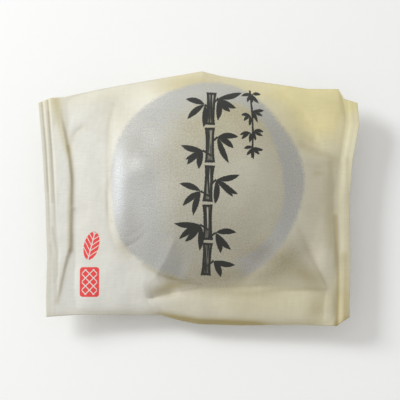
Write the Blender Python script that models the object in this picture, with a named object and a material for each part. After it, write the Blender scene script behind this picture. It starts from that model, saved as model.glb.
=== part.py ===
"""A round bun in a soft paper pack: a tube of paper sealed flat across both ends.

The pack lies on its back. X runs from end seal to end seal, Y across the pack, Z is up.
The origin is on the resting plane, under the middle of the pack's outline.
"""
import math

import bmesh
import bpy
import numpy as np

MM = 0.001

# The bulge of the bun under the paper, in millimetres, and the shape of its shoulder
BUN_CENTRE = (1.8, 6.0)
BUN_HEIGHT = 25.0
BULGE_REACH = 38.0
BULGE_SQUARENESS = 3.0
BULGE_SHOULDER = 2.2
SKIRT_HEIGHT = 1.4
SKIRT_REACH = 7.0
BASE_RADIUS = 23.5

# The bulge's foot all round: bearing from the bun in degrees, reach, and firmness of the edge
BULGE_FOOT = (
    (-180, 28.2, 1.0), (-168, 28.8, 0.9), (-156, 31.0, 0.4), (-142, 34.0, 0.1), (-125, 35.8, 0.0),
    (-104, 34.6, 0.0), (-90, 33.8, 0.0), (-76, 34.8, 0.0), (-62, 38.0, 0.0), (-48, 40.5, 0.0),
    (-31, 38.5, 0.0), (-12, 37.5, 0.0), (28, 37.0, 0.0), (60, 37.0, 0.0), (90, 37.5, 0.0), (118, 38.5, 0.0),
    (130, 37.5, 0.0), (142, 35.0, 0.1), (156, 31.0, 0.4), (168, 28.6, 0.9), (180, 28.2, 1.0),
)

# The firm side of the bulge: how far it falls to its foot, how steep the foot is,
# and the turns in degrees over which the foot is evened out
FIRM_FALL = 0.46
FIRM_STEEPNESS = 9
FOOT_TURNS = (-9.0, -4.5, 0.0, 4.5, 9.0)

# The corner that the paper is drawn out to: its place, the way back to the bun and the tent's half spread
# in degrees, its slope, and the distances between which it fades into the bulge
CORNER = (38.6, -28.0)
CORNER_WAY = 149.0
CORNER_SPREAD = 33.0
CORNER_SLOPE = 0.40
CORNER_LENGTH = (9.0, 27.0)

# The paper round it, in millimetres
PAPER = 0.5
SEAL_WIDTH = 3.6
CRIMP_PLACES = (1.3, 3.0)
CRIMP_WIDTH = 0.35
CRIMP_DEPTH = 0.22
LEFT_FOLD = 7.6
FRONT_SLACK = 2.6
BACK_SLACK = 2.4
LAP_Y = (-4.0, 6.5)
LAP_STEP = 0.35
LAP_SLOPE = 0.6
LAP_FADE = 2.0
BELLY_POWER = 0.9
BELLY_RISE = 2.0

# How gently the sheets rise from the near and the far edge, from both seals and beside folds, in millimetres
NEAR_RISE = 2.4
FAR_RISE = 3.0
LEFT_RISE = 7.0
RIGHT_RISE = 4.0
FOLD_RISE = 1.5
SEAL_RISE = 0.8

# The seam line's height on the near and the far side: in the middle, and how much more at the ends
NEAR_SEAM = (4.5, 2.5)
FAR_SEAM = (9.0, -0.5)

# The bend beside the right seal: a groove, its inner slope at several Y, then a crest; and where
# the whole bend fades towards the flared end: the Y, the length, and the share that is left
GROOVE_PLACE = 3.5
GROOVE_DEPTH = 0.45
GROOVE_WIDTH = 0.9
GROOVE_SLOPE = ((-18.0, 0.9), (-12.0, 4.5), (14.0, 4.5), (20.0, 1.2))
CREST_PLACE = 1.5
CREST_HEIGHT = 0.30
CREST_WIDTH = 1.1
BEND_FADE = (14.0, 10.0, 0.12)

# How the left crimps are worn away (share in the middle, length, least share), and how faint the right ones are
CRIMP_WEAR = (0.7, 22.0, 0.15)
RIGHT_CRIMP = 0.25

# The cut outline of the pack seen from above, a few corners on each side, in millimetres
LEFT_END = ((-45.0, -36.0), (-45.2, -30.0), (-45.1, -18.0), (-46.0, 0.0), (-47.0, 14.0), (-48.5, 29.9))
RIGHT_END = ((44.9, -36.2), (45.4, -20.0), (45.5, 0.0), (46.7, 12.0), (48.9, 23.0), (48.4, 29.9))
FAR_SIDE = (
    (-48.5, 29.9), (-44.8, 31.5), (-41.0, 31.7), (-29.5, 34.3), (-17.5, 36.5), (-5.5, 38.6), (1.2, 39.8),
    (6.6, 38.4), (12.5, 37.4), (23.0, 35.9), (33.5, 34.3), (42.7, 34.3), (44.4, 31.2), (48.4, 29.9),
)
NEAR_SIDE = (
    (-45.0, -36.0), (-35.0, -35.1), (-11.0, -34.9), (-5.5, -36.6), (0.5, -37.7),
    (12.5, -38.1), (30.0, -38.1), (41.0, -38.7), (44.9, -36.2),
)

# The facets are about 2 mm wide, so no crease is narrower than this, in millimetres. A crease's sides
# fall with this power, and it fades towards both ends: how fast, and what is left at the very end
LEAST_CREASE = 1.7
CREASE_POWER = 1.7
CREASE_FADE = (3.5, 0.15)

# Creases of the front sheet: the line, its height, and its width on the left and on the right of it
CREASES = (
    # the folded edge that lies over the left seal, with a step down towards the bun
    (((-42.3, 31.0), (-41.4, 25.4), (-40.6, 21.0), (-39.2, 14.0), (-38.3, 6.0), (-38.1, -3.4), (-38.1, -14.2),
      (-39.3, -18.0), (-41.1, -27.2), (-42.3, -35.5)), 0.85, 0.55, 4.2),
    # the pinch at the left end of the loose flap
    (((-15.4, -30.4), (-11.4, -29.2), (-5.4, -28.4)), -1.3, 2.2, 0.8),
    # the valley above the flap, from the pinch to the lower right corner of the bulge
    (((-15.4, -30.4), (-11.4, -29.2), (-5.4, -28.4), (0.6, -27.3), (18.6, -26.9), (38.1, -27.2)),
     -1.1, 2.8, 1.8),
    # the ridge of a fold that runs from the flap up the bulge
    (((-13.0, -24.5), (-9.4, -20.0), (-6.4, -14.5)), 0.9, 2.4, 0.9),
    # the valley beside the right seal, deep towards the near corner
    (((40.6, 12.0), (40.8, 0.0), (41.0, -12.0), (40.8, -38.5)), -0.8, 1.0, 2.4),
    # the fold that ends the flap at its right
    (((37.9, -27.4), (37.4, -32.0), (37.0, -38.5)), -0.4, 0.9, 4.0),
    # a short dent beside the left seal's fold
    (((-38.2, 18.8), (-36.4, 21.0), (-34.0, 22.6)), -0.4, 1.3, 1.3),
)

# Soft dents of the front sheet: centre, half sizes, turn in degrees, depth
DENTS = (
    ((-19.6, -8.6), (4.4, 9.0), 14.0, 1.3),
    ((35.2, 16.6), (5.0, 1.9), -24.0, 0.5),
    ((37.0, 9.0), (4.5, 1.4), 0.0, 0.5),
    ((-6.0, -21.4), (2.6, 3.4), -20.0, 0.9),
    ((18.4, -17.6), (4.2, 3.0), 25.0, 0.8),
    ((38.0, -17.6), (3.2, 8.5), -24.0, -0.9),
)

# The sheet's facets: the widths of its columns against each other, the number of rows, and how even they are
COLUMN_STEPS = [0.45] * 8 + [0.95] * 6 + [1.9] * 3 + [1.35] * 6 + [2.1] * 29 + [0.95] * 5 + [0.45] * 8
ROWS = 44
ROW_EVENNESS = 0.42


def clear_scene():
    for thing in list(bpy.data.objects):
        bpy.data.objects.remove(thing, do_unlink=True)


def side_point(points, share):
    """The point at a share of a long side, counted along X."""
    xs, ys = np.array(points).T
    x = xs[0] + (xs[-1] - xs[0]) * share
    return x, np.interp(x, xs, ys)


def end_point(points, share):
    """The point at a share of an end, counted along Y."""
    xs, ys = np.array(points).T
    y = ys[0] + (ys[-1] - ys[0]) * share
    return np.interp(y, ys, xs), y


def sheet_place(u, v):
    """The place in plan of a point of the sheet, with its four curved sides filled in between."""
    near, far = side_point(NEAR_SIDE, u), side_point(FAR_SIDE, u)
    left, right = end_point(LEFT_END, v), end_point(RIGHT_END, v)
    corners = (NEAR_SIDE[0], NEAR_SIDE[-1], FAR_SIDE[0], FAR_SIDE[-1])
    place = []
    for i in (0, 1):
        a, b, c, d = (corner[i] for corner in corners)
        flat = (1 - u) * (1 - v) * a + u * (1 - v) * b + (1 - u) * v * c + u * v * d
        place.append((1 - v) * near[i] + v * far[i] + (1 - u) * left[i] + u * right[i] - flat)
    return place


def rise(distance, reach):
    """A soft rise from 0 at an edge to 1 well inside it."""
    return 1.0 - np.exp(-np.maximum(distance, 0.0) / reach)


def line_distance(x, y, line):
    """The distance to a line of points, positive on its left, and the share along it."""
    best = np.full(np.shape(x), 1e9)
    side = np.zeros(np.shape(x))
    share = np.zeros(np.shape(x))
    count = len(line) - 1
    for i, ((ax, ay), (bx, by)) in enumerate(zip(line, line[1:])):
        dx, dy = bx - ax, by - ay
        length = dx * dx + dy * dy
        t = np.clip(((x - ax) * dx + (y - ay) * dy) / length, 0.0, 1.0)
        px, py = x - ax - t * dx, y - ay - t * dy
        distance = np.hypot(px, py)
        closer = distance < best
        best = np.where(closer, distance, best)
        side = np.where(closer, np.sign(dx * py - dy * px), side)
        share = np.where(closer, (i + t) / count, share)
    return best, side, share


def creases(x, y):
    """The sharp folds of the front sheet, each fading towards its two ends."""
    total = np.zeros(np.shape(x))
    for line, height, left_width, right_width in CREASES:
        distance, side, share = line_distance(x, y, line)
        width = np.maximum(np.where(side > 0, left_width, right_width), LEAST_CREASE)
        from_tip = np.minimum(share, 1.0 - share)
        fade = np.clip(from_tip * CREASE_FADE[0] + CREASE_FADE[1], 0.0, 1.0)
        total += height * fade * np.exp(-((distance / width) ** CREASE_POWER))
    for (cx, cy), (half_x, half_y), turn, depth in DENTS:
        c, s = math.cos(math.radians(turn)), math.sin(math.radians(turn))
        along, across = (x - cx) * c + (y - cy) * s, (y - cy) * c - (x - cx) * s
        total -= depth * np.exp(-((along / half_x) ** 2) - (across / half_y) ** 2)
    return total


def edge_height(u, v):
    """The height of the seam line all round: low along the loose flap, highest along the far side."""
    from_middle = np.abs(2.0 * u - 1.0)
    near = NEAR_SEAM[0] + NEAR_SEAM[1] * from_middle ** 2
    far = FAR_SEAM[0] + FAR_SEAM[1] * from_middle
    return near * (1.0 - v) + far * v


def end_bend(from_right, y):
    """The right seal is bent up beside the pack: a groove, then a crest, both fading where it flares."""
    groove = from_right - GROOVE_PLACE
    width = np.where(groove < 0.0, GROOVE_WIDTH, np.interp(y, *np.array(GROOVE_SLOPE).T))
    valley = -GROOVE_DEPTH * np.exp(-((np.abs(groove) / width) ** 1.5))
    crest = CREST_HEIGHT * np.exp(-(((from_right - CREST_PLACE) / CREST_WIDTH) ** 2))
    flare, length, least = BEND_FADE
    return (crest + valley) * np.clip((flare - y) / length, least, 1.0)


def crimps(from_left, from_right, y):
    """The two lines that the sealing jaws press into each end, worn away where it was handled."""
    from_end = np.minimum(from_left, from_right)
    middle, length, least = CRIMP_WEAR
    worn = np.clip(middle + y / length, least, 1.0)
    depth = CRIMP_DEPTH * np.where(from_left < from_right, worn, RIGHT_CRIMP)
    grooves = sum(np.exp(-(((from_end - place) / CRIMP_WIDTH) ** 2)) for place in CRIMP_PLACES)
    return -depth * grooves * (from_end < SEAL_WIDTH)


def bulge_rise(x, y):
    """How far the bun lifts the paper inside its foot and pulls it up outside, and the distance to the foot."""
    across, along = x - BUN_CENTRE[0], y - BUN_CENTRE[1]
    radius, bearing = np.hypot(across, along), np.degrees(np.arctan2(along, across))
    bearings, reaches, firmness = np.array(BULGE_FOOT).T
    turned = [bearing + turn for turn in FOOT_TURNS]
    full = np.mean([np.interp(way, bearings, reaches, period=360) for way in turned], axis=0)
    firm_part = np.mean([np.interp(way, bearings, firmness, period=360) for way in turned], axis=0)
    round_share, foot_share = radius / BULGE_REACH, radius / full
    share = round_share + (foot_share - round_share) * np.minimum(foot_share, 1.0)
    soft = np.clip(1.0 - share ** BULGE_SQUARENESS, 0.0, 1.0) ** BULGE_SHOULDER
    firm = (1.0 - FIRM_FALL * share ** 2) * np.clip(1.0 - share ** FIRM_STEEPNESS, 0.0, 1.0)
    outside = np.maximum(radius - full, 0.0)
    skirt = np.exp(-outside / SKIRT_REACH) * np.cos(np.radians(bearing)) ** 2
    return soft + (firm - soft) * firm_part, skirt, radius, full


def corner_tent(x, y):
    """The paper is drawn out into a low tent from the bulge to its lower right corner."""
    across, along = x - CORNER[0], y - CORNER[1]
    distance, bearing = np.hypot(across, along), np.degrees(np.arctan2(along, across))
    turn = np.abs((bearing - CORNER_WAY + 180.0) % 360.0 - 180.0) / CORNER_SPREAD
    fade = np.clip((CORNER_LENGTH[1] - distance) / (CORNER_LENGTH[1] - CORNER_LENGTH[0]), 0.0, 1.0)
    fade = fade * fade * (3.0 - 2.0 * fade)
    return CORNER_SLOPE * distance * fade * np.clip(1.0 - turn ** 2, 0.0, 1.0) ** 1.3


def sheet_heights(u, v, x, y):
    """The heights of the front and the back sheet over the same place."""
    near_y = side_point(NEAR_SIDE, u)[1]
    far_y = side_point(FAR_SIDE, u)[1]
    left_x = end_point(LEFT_END, v)[0]
    right_x = end_point(RIGHT_END, v)[0]
    from_near, from_far = y - near_y, far_y - y
    from_left, from_right = x - left_x, right_x - x
    from_end = np.minimum(from_left, from_right)

    edge = edge_height(u, v) + end_bend(from_right, y)
    puff = rise(from_near, NEAR_RISE) * rise(from_far, FAR_RISE)
    puff = puff * rise(from_left - LEFT_FOLD, LEFT_RISE) * rise(from_right - SEAL_WIDTH, RIGHT_RISE)
    fold = rise(from_near, FOLD_RISE) * rise(from_far, FOLD_RISE) * rise(from_end - 1.0, FOLD_RISE)
    beyond_seal = rise(from_end - SEAL_WIDTH, SEAL_RISE)

    bulge, skirt, radius, full = bulge_rise(x, y)
    front = edge + (FRONT_SLACK + SKIRT_HEIGHT * skirt) * puff
    front = front + (BUN_HEIGHT - front) * bulge * rise(from_far, FOLD_RISE) * beyond_seal
    front = front + corner_tent(x, y) * beyond_seal
    front = front + creases(x, y) * fold

    belly = np.clip((full - radius) / (full - BASE_RADIUS), 0.0, 1.0)
    belly = belly * rise(from_far, FAR_RISE) * rise(from_end - SEAL_WIDTH, BELLY_RISE)
    back = edge - BACK_SLACK * puff
    back = back * (1.0 - belly ** BELLY_POWER)
    lap = np.clip((LAP_Y[1] - y) / LAP_SLOPE, 0.0, 1.0) * np.clip((y - LAP_Y[0]) / LAP_SLOPE, 0.0, 1.0)
    back = back - LAP_STEP * lap * np.clip(back / LAP_FADE, 0.0, 1.0) * rise(from_end - SEAL_WIDTH, FOLD_RISE)
    back = np.maximum(back, 0.0)
    back = np.where(radius < BASE_RADIUS, 0.0, back)

    middle = edge + crimps(from_left, from_right, y)
    front = np.where(from_end < SEAL_WIDTH, middle + PAPER / 2, np.maximum(front, edge + PAPER / 2))
    back = np.where(from_end < SEAL_WIDTH, middle - PAPER / 2, np.minimum(back, edge - PAPER / 2))
    return front, back


def column_shares():
    """The places of the sheet's columns: close together in the seals, wide over the bun."""
    ends = np.concatenate(([0.0], np.cumsum(COLUMN_STEPS)))
    return ends / ends[-1]


def row_shares():
    """The places of the sheet's rows: closer together towards the two long folds."""
    s = np.linspace(0.0, 1.0, ROWS + 1)
    return ROW_EVENNESS * s + (1.0 - ROW_EVENNESS) * (1.0 - np.cos(math.pi * s)) / 2.0


def make_pack(collection, material):
    columns, rows = column_shares(), row_shares()
    bm = bmesh.new()
    bmesh.ops.create_grid(bm, x_segments=len(columns) - 1, y_segments=ROWS, size=1.0)
    front_faces = list(bm.faces)
    copied = bmesh.ops.duplicate(bm, geom=list(bm.verts) + list(bm.edges) + front_faces)
    back_verts = [e for e in copied["geom"] if isinstance(e, bmesh.types.BMVert)]
    back_faces = [e for e in copied["geom"] if isinstance(e, bmesh.types.BMFace)]
    back_set = set(back_verts)

    verts = list(bm.verts)
    grid = np.array([vert.co[:2] for vert in verts])
    column = np.rint((grid[:, 0] + 1.0) / 2.0 * (len(columns) - 1)).astype(int)
    row = np.rint((grid[:, 1] + 1.0) / 2.0 * ROWS).astype(int)
    u, v = columns[column], rows[row]
    x, y = sheet_place(u, v)
    front, back = sheet_heights(u, v, x, y)
    x = x - (x.min() + x.max()) / 2
    y = y - (y.min() + y.max()) / 2
    for i, vert in enumerate(verts):
        height = back[i] if vert in back_set else front[i]
        vert.co = (x[i] * MM, y[i] * MM, height * MM)

    bmesh.ops.reverse_faces(bm, faces=back_faces)
    rims = [edge for edge in bm.edges if edge.is_boundary]
    bmesh.ops.bridge_loops(bm, edges=rims)
    bmesh.ops.recalc_face_normals(bm, faces=bm.faces)
    mesh = bpy.data.meshes.new("wrapped_manju")
    bm.to_mesh(mesh)
    bm.free()
    mesh.shade_smooth()
    mesh.set_sharp_from_angle(angle=math.radians(35.0))
    mesh.materials.append(material)
    pack = bpy.data.objects.new("wrapped_manju", mesh)
    collection.objects.link(pack)
    return pack


def paper_material():
    material = bpy.data.materials.new("cream_paper")
    material.use_nodes = True
    shader = material.node_tree.nodes["Principled BSDF"]
    shader.inputs["Base Color"].default_value = (0.72, 0.70, 0.58, 1.0)
    shader.inputs["Roughness"].default_value = 0.62
    shader.inputs["Metallic"].default_value = 0.0
    return material


def main():
    clear_scene()
    collection = bpy.data.collections.new("wrapped_manju")
    bpy.context.scene.collection.children.link(collection)
    make_pack(collection, paper_material())


main()
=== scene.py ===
# %% [markdown]
# # A wrapped manju
# A manju is a small steamed bun with a sweet filling. This one is shut in its own paper pack: a tube of
# soft, cream paper, sealed flat across both ends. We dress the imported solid, which gives the true size
# and place, with a much finer skin of paper, its creases, its print and its finish.

# %% Load the frame
import math
import bmesh
import bpy
import numpy as np
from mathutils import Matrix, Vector


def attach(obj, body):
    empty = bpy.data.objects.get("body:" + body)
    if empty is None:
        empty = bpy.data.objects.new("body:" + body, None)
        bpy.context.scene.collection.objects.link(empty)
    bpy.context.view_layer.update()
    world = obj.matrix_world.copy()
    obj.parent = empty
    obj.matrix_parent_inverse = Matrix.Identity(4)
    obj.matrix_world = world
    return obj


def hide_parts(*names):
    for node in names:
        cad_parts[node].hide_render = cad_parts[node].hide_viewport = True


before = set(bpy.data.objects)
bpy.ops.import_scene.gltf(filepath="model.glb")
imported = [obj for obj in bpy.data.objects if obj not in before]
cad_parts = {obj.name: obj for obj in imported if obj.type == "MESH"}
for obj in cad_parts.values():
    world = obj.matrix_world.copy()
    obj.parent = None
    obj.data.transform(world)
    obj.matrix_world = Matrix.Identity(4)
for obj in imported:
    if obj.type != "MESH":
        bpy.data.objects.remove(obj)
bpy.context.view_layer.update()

# %% [markdown]
# ## Named sizes
# All sizes are in millimetres and become metres at the very end. The bun sits off centre, pushed against
# the far side of the pack, so one loose flap of paper is left along the near side. The four sides are
# short lists of corners, because the real cut edges are straight runs with a few bends in them. A size
# that only one shape needs stands beside that shape further down.

# %% Sizes of the pack
MM = 0.001
PAPER = 0.5
SEAL_WIDTH = 3.6
LEFT_FOLD = 7.6
BUN_CENTRE = (1.8, 6.0)
BUN_HEIGHT = 25.0
BASE_RADIUS = 23.5
LEFT_END = ((-45.0, -36.0), (-45.2, -30.0), (-45.1, -18.0), (-46.0, 0.0), (-47.0, 14.0), (-48.5, 29.9))
RIGHT_END = ((44.9, -36.2), (45.4, -20.0), (45.5, 0.0), (46.7, 12.0), (48.9, 23.0), (48.4, 29.9))
FAR_SIDE = (
    (-48.5, 29.9), (-44.8, 31.5), (-41.0, 31.7), (-29.5, 34.3), (-17.5, 36.5), (-5.5, 38.6), (1.2, 39.8),
    (6.6, 38.4), (12.5, 37.4), (23.0, 35.9), (33.5, 34.3), (42.7, 34.3), (44.4, 31.2), (48.4, 29.9),
)
NEAR_SIDE = (
    (-45.0, -36.0), (-35.0, -35.1), (-11.0, -34.9), (-5.5, -36.6), (0.5, -37.7),
    (12.5, -38.1), (30.0, -38.1), (41.0, -38.7), (44.9, -36.2),
)
print("corners of the four sides:", [len(side) for side in (NEAR_SIDE, RIGHT_END, FAR_SIDE, LEFT_END)])

# %% [markdown]
# ## Where each point of the sheet lies
# A flat grid with shares u and v from 0 to 1 is laid between the four sides. This is a Coons patch: it
# blends the two long sides and the two ends and takes away the corners that were counted twice.
# It is a simple way to fit an even grid into an outline with four curved sides.

# %% Lay the sheet between its four sides
def side_point(points, share):
    xs, ys = np.array(points).T
    x = xs[0] + (xs[-1] - xs[0]) * share
    return x, np.interp(x, xs, ys)


def end_point(points, share):
    xs, ys = np.array(points).T
    y = ys[0] + (ys[-1] - ys[0]) * share
    return np.interp(y, ys, xs), y


def sheet_place(u, v):
    near, far = side_point(NEAR_SIDE, u), side_point(FAR_SIDE, u)
    left, right = end_point(LEFT_END, v), end_point(RIGHT_END, v)
    corners = (NEAR_SIDE[0], NEAR_SIDE[-1], FAR_SIDE[0], FAR_SIDE[-1])
    place = []
    for i in (0, 1):
        a, b, c, d = (corner[i] for corner in corners)
        flat = (1 - u) * (1 - v) * a + u * (1 - v) * b + (1 - u) * v * c + u * v * d
        place.append((1 - v) * near[i] + v * far[i] + (1 - u) * left[i] + u * right[i] - flat)
    return place


# %% [markdown]
# ## Soft shapes in numbers
# Paper has no hard steps, so nearly every slope, dent and tint below is one of four soft shapes: a ramp
# between two places, the same ramp with eased ends, a hump, and an oval that fades around its centre.

# %% Ramp, eased ramp, hump and oval
def ramp(value, start, end):
    return np.clip((value - start) / (end - start), 0.0, 1.0)


def eased(share):
    return share * share * (3.0 - 2.0 * share)


def hump(value, middle, half_width, power=2):
    return np.exp(-(((value - middle) / half_width) ** power))


def soft_oval(x, y, centre, halves, turn=0.0):
    c, s = math.cos(math.radians(turn)), math.sin(math.radians(turn))
    from_x, from_y = x - centre[0], y - centre[1]
    along, across = from_x * c + from_y * s, from_y * c - from_x * s
    return np.exp(-((along / halves[0]) ** 2) - (across / halves[1]) ** 2)


print("a ramp, eased:", [round(eased(share), 2) for share in (0.0, 0.25, 0.5, 0.75, 1.0)])

# %% [markdown]
# ## Creases
# Thin paper doesn't stretch, so it answers each pull with a crease. Every crease here is a short line
# with a height and a width on each side: a narrow width makes a steep, shaded flank, a wide one a soft
# slope. The first list repeats the creases of the solid, so the skin fits it, and the second adds the
# fine ones that only the skin has. A dent is an oval with half sizes, a turn in degrees and a depth; the
# last one has a negative depth, which makes it a low mound.

# %% List the creases
CREASES = (
    # the folded edge that lies over the left seal, with a step down towards the bun
    (((-42.3, 31.0), (-41.4, 25.4), (-40.6, 21.0), (-39.2, 14.0), (-38.3, 6.0), (-38.1, -3.4),
      (-38.1, -14.2), (-39.3, -18.0), (-41.1, -27.2), (-42.3, -35.5)), 0.85, 0.55, 4.2),
    # the pinch at the left end of the loose flap
    (((-15.4, -30.4), (-11.4, -29.2), (-5.4, -28.4)), -1.3, 2.2, 0.8),
    # the valley above the flap, from the pinch to the lower right corner of the bulge
    (((-15.4, -30.4), (-11.4, -29.2), (-5.4, -28.4), (0.6, -27.3), (18.6, -26.9), (38.1, -27.2)),
     -1.1, 2.8, 1.8),
    # the ridge of a fold that runs from the flap up the bulge
    (((-13.0, -24.5), (-9.4, -20.0), (-6.4, -14.5)), 0.9, 2.4, 0.9),
    # the valley beside the right seal
    (((40.6, 12.0), (40.8, 0.0), (41.0, -12.0), (40.8, -38.5)), -0.8, 1.0, 2.4),
    # the fold that ends the flap at its right
    (((37.9, -27.4), (37.4, -32.0), (37.0, -38.5)), -0.4, 0.9, 4.0),
    # a short dent beside the left seal's fold
    (((-38.2, 18.8), (-36.4, 21.0), (-34.0, 22.6)), -0.4, 1.3, 1.3),
)
FINE_CREASES = (
    # nicks of the left fold
    (((-38.4, -3.2), (-36.9, -2.8)), 0.35, 0.4, 0.5),
    (((-38.4, -15.0), (-37.0, -15.8)), 0.35, 0.4, 0.5),
    # the thin line at the bulge's foot on the left
    (((-25.2, 12.0), (-26.2, 6.6), (-27.0, 1.0), (-26.8, -4.0), (-25.7, -8.0)), -0.30, 0.6, 0.5),
    # short wrinkles of the left seal
    (((-43.8, -8.0), (-42.4, -14.0), (-42.2, -22.0)), -0.28, 0.4, 0.4),
    (((-44.4, -13.0), (-43.4, -18.0), (-43.0, -24.0)), -0.22, 0.35, 0.35),
    # the thin line where the bulge's lower left meets the margin
    (((-16.6, -20.0), (-11.4, -23.4), (-7.5, -24.9), (-5.4, -25.6), (0.6, -26.6)), -0.35, 0.5, 0.5),
    # small wrinkles that run up from the dent
    (((-22.5, -15.5), (-19.0, -14.5), (-14.5, -11.5)), -0.3, 0.6, 0.5),
    (((-21.5, -12.6), (-18.0, -11.4), (-14.0, -8.8)), -0.2, 0.5, 0.5),
    # the flap's left end
    (((-15.4, -30.4), (-14.6, -32.0), (-11.6, -35.0)), -0.25, 0.4, 0.4),
)
DENTS = (
    ((-19.6, -8.6), (4.4, 9.0), 14.0, 1.3),
    ((35.2, 16.6), (5.0, 1.9), -24.0, 0.5),
    ((37.0, 9.0), (4.5, 1.4), 0.0, 0.5),
    ((-6.0, -21.4), (2.6, 3.4), -20.0, 0.9),
    ((18.4, -17.6), (4.2, 3.0), 25.0, 0.8),
    ((38.0, -17.6), (3.2, 8.5), -24.0, -0.9),
)
print("creases:", len(CREASES), "main and", len(FINE_CREASES), "fine, and", len(DENTS), "dents")

# %% [markdown]
# ## From lists to relief
# For every point of the sheet we look for the nearest place of a crease's line, on which side of it the
# point lies, and how far along the line that is. A crease fades out at both of its ends.

# %% Relief of creases and dents
END_FADE = 3.5
LEAST_AT_ENDS = 0.15


def line_distance(x, y, line):
    best, side, share = np.full(x.shape, 1e9), np.zeros(x.shape), np.zeros(x.shape)
    count = len(line) - 1
    for i, ((ax, ay), (bx, by)) in enumerate(zip(line, line[1:])):
        dx, dy = bx - ax, by - ay
        t = np.clip(((x - ax) * dx + (y - ay) * dy) / (dx * dx + dy * dy), 0.0, 1.0)
        px, py = x - ax - t * dx, y - ay - t * dy
        distance = np.hypot(px, py)
        closer = distance < best
        best = np.where(closer, distance, best)
        side = np.where(closer, np.sign(dx * py - dy * px), side)
        share = np.where(closer, (i + t) / count, share)
    return best, side, share


def crease_relief(x, y, creases, sharpness):
    total = np.zeros(x.shape)
    for line, height, left_width, right_width in creases:
        distance, side, share = line_distance(x, y, line)
        width = np.where(side > 0, left_width, right_width)
        fade = np.clip(np.minimum(share, 1.0 - share) * END_FADE + LEAST_AT_ENDS, 0.0, 1.0)
        total += height * fade * np.exp(-((distance / width) ** sharpness))
    return total


def dent_relief(x, y):
    return -sum(depth * soft_oval(x, y, centre, halves, turn) for centre, halves, turn, depth in DENTS)


# %% [markdown]
# ## Small ripples
# Handled paper is never quite smooth. A sum of a few dozen faint waves in random directions gives soft,
# uneven ripples. The random draw has a fixed seed, so the pack is the same on every run.

# %% Ripples of handled paper
def ripples(x, y, seed, waves, shortest, longest):
    draw = np.random.default_rng(seed)
    total = np.zeros(x.shape)
    for _ in range(waves):
        length = shortest * (longest / shortest) ** draw.random()
        angle, phase = draw.random() * math.pi, draw.random() * 2.0 * math.pi
        wave = (x * math.cos(angle) + y * math.sin(angle)) / length * 2.0 * math.pi
        total += np.sin(wave + phase)
    return total / math.sqrt(waves / 2.0)


# height, seed, number of waves, shortest and longest wave
RIPPLES = ((0.050, 11, 36, 7.0, 24.0), (0.012, 12, 40, 1.8, 5.0))
print("ripples:", sum(waves for _, _, waves, _, _ in RIPPLES), "waves in", len(RIPPLES), "sizes")

# %% [markdown]
# ## The rim of the pack
# The seam line runs round the pack at its own height, lower along the near side than along the far one.
# Both ends are pressed into crimped seals. The right seal is bent as well: a groove runs beside it, with
# a low crest further out, and both fade towards its far end.

# %% Height of the rim and the seals
# seams: height at the middle of the side, and what is added towards its ends
NEAR_SEAM = (4.5, 2.5)
FAR_SEAM = (9.0, -0.5)
GROOVE_PLACE = 3.5
GROOVE_DEPTH = 0.45
GROOVE_WIDTH = 0.9
GROOVE_SHARPNESS = 1.5
GROOVE_SLOPE = ((-18.0, 0.9), (-12.0, 4.5), (14.0, 4.5), (20.0, 1.2))
CREST_PLACE = 1.5
CREST_HEIGHT = 0.30
CREST_WIDTH = 1.1
BEND_END, BEND_FADE, BEND_LEAST = 14.0, 10.0, 0.12
CRIMP_PLACES = (1.3, 3.0)
CRIMP_WIDTH = 0.35
CRIMP_DEPTH = 0.22
# the left seal's crimps are worn flat towards the near end, and the right seal's everywhere
CRIMP_MIDDLE, CRIMP_FADE, CRIMP_LEAST = 0.7, 22.0, 0.15
RIGHT_CRIMP = 0.25


def edge_height(u, v):
    from_middle = np.abs(2.0 * u - 1.0)
    near = NEAR_SEAM[0] + NEAR_SEAM[1] * from_middle ** 2
    far = FAR_SEAM[0] + FAR_SEAM[1] * from_middle
    return near * (1.0 - v) + far * v


def end_bend(from_right, y):
    groove = from_right - GROOVE_PLACE
    width = np.where(groove < 0.0, GROOVE_WIDTH, np.interp(y, *np.array(GROOVE_SLOPE).T))
    valley = -GROOVE_DEPTH * np.exp(-((np.abs(groove) / width) ** GROOVE_SHARPNESS))
    crest = CREST_HEIGHT * hump(from_right, CREST_PLACE, CREST_WIDTH)
    return (crest + valley) * np.clip((BEND_END - y) / BEND_FADE, BEND_LEAST, 1.0)


def crimps(from_left, from_right, y):
    from_end = np.minimum(from_left, from_right)
    left_crimp = np.clip(CRIMP_MIDDLE + y / CRIMP_FADE, CRIMP_LEAST, 1.0)
    depth = CRIMP_DEPTH * np.where(from_left < from_right, left_crimp, RIGHT_CRIMP)
    grooves = sum(hump(from_end, place, CRIMP_WIDTH) for place in CRIMP_PLACES)
    return -depth * grooves * (from_end < SEAL_WIDTH)


print("height of the seam:", edge_height(0.5, 0.0), "mm near,", edge_height(0.5, 1.0), "mm far")

# %% [markdown]
# ## The bulge of the bun
# Over the bun the front sheet is lifted into a tent. The list of its foot says how far the slope reaches
# at each bearing, in degrees counted from the right. Its third number says how firmly the paper lies
# against the bun there: a firm slope stays round and falls steeply at the foot, a soft one runs out
# slowly. Each reading is the mean of five close bearings, which rounds the corners of the list.

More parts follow.
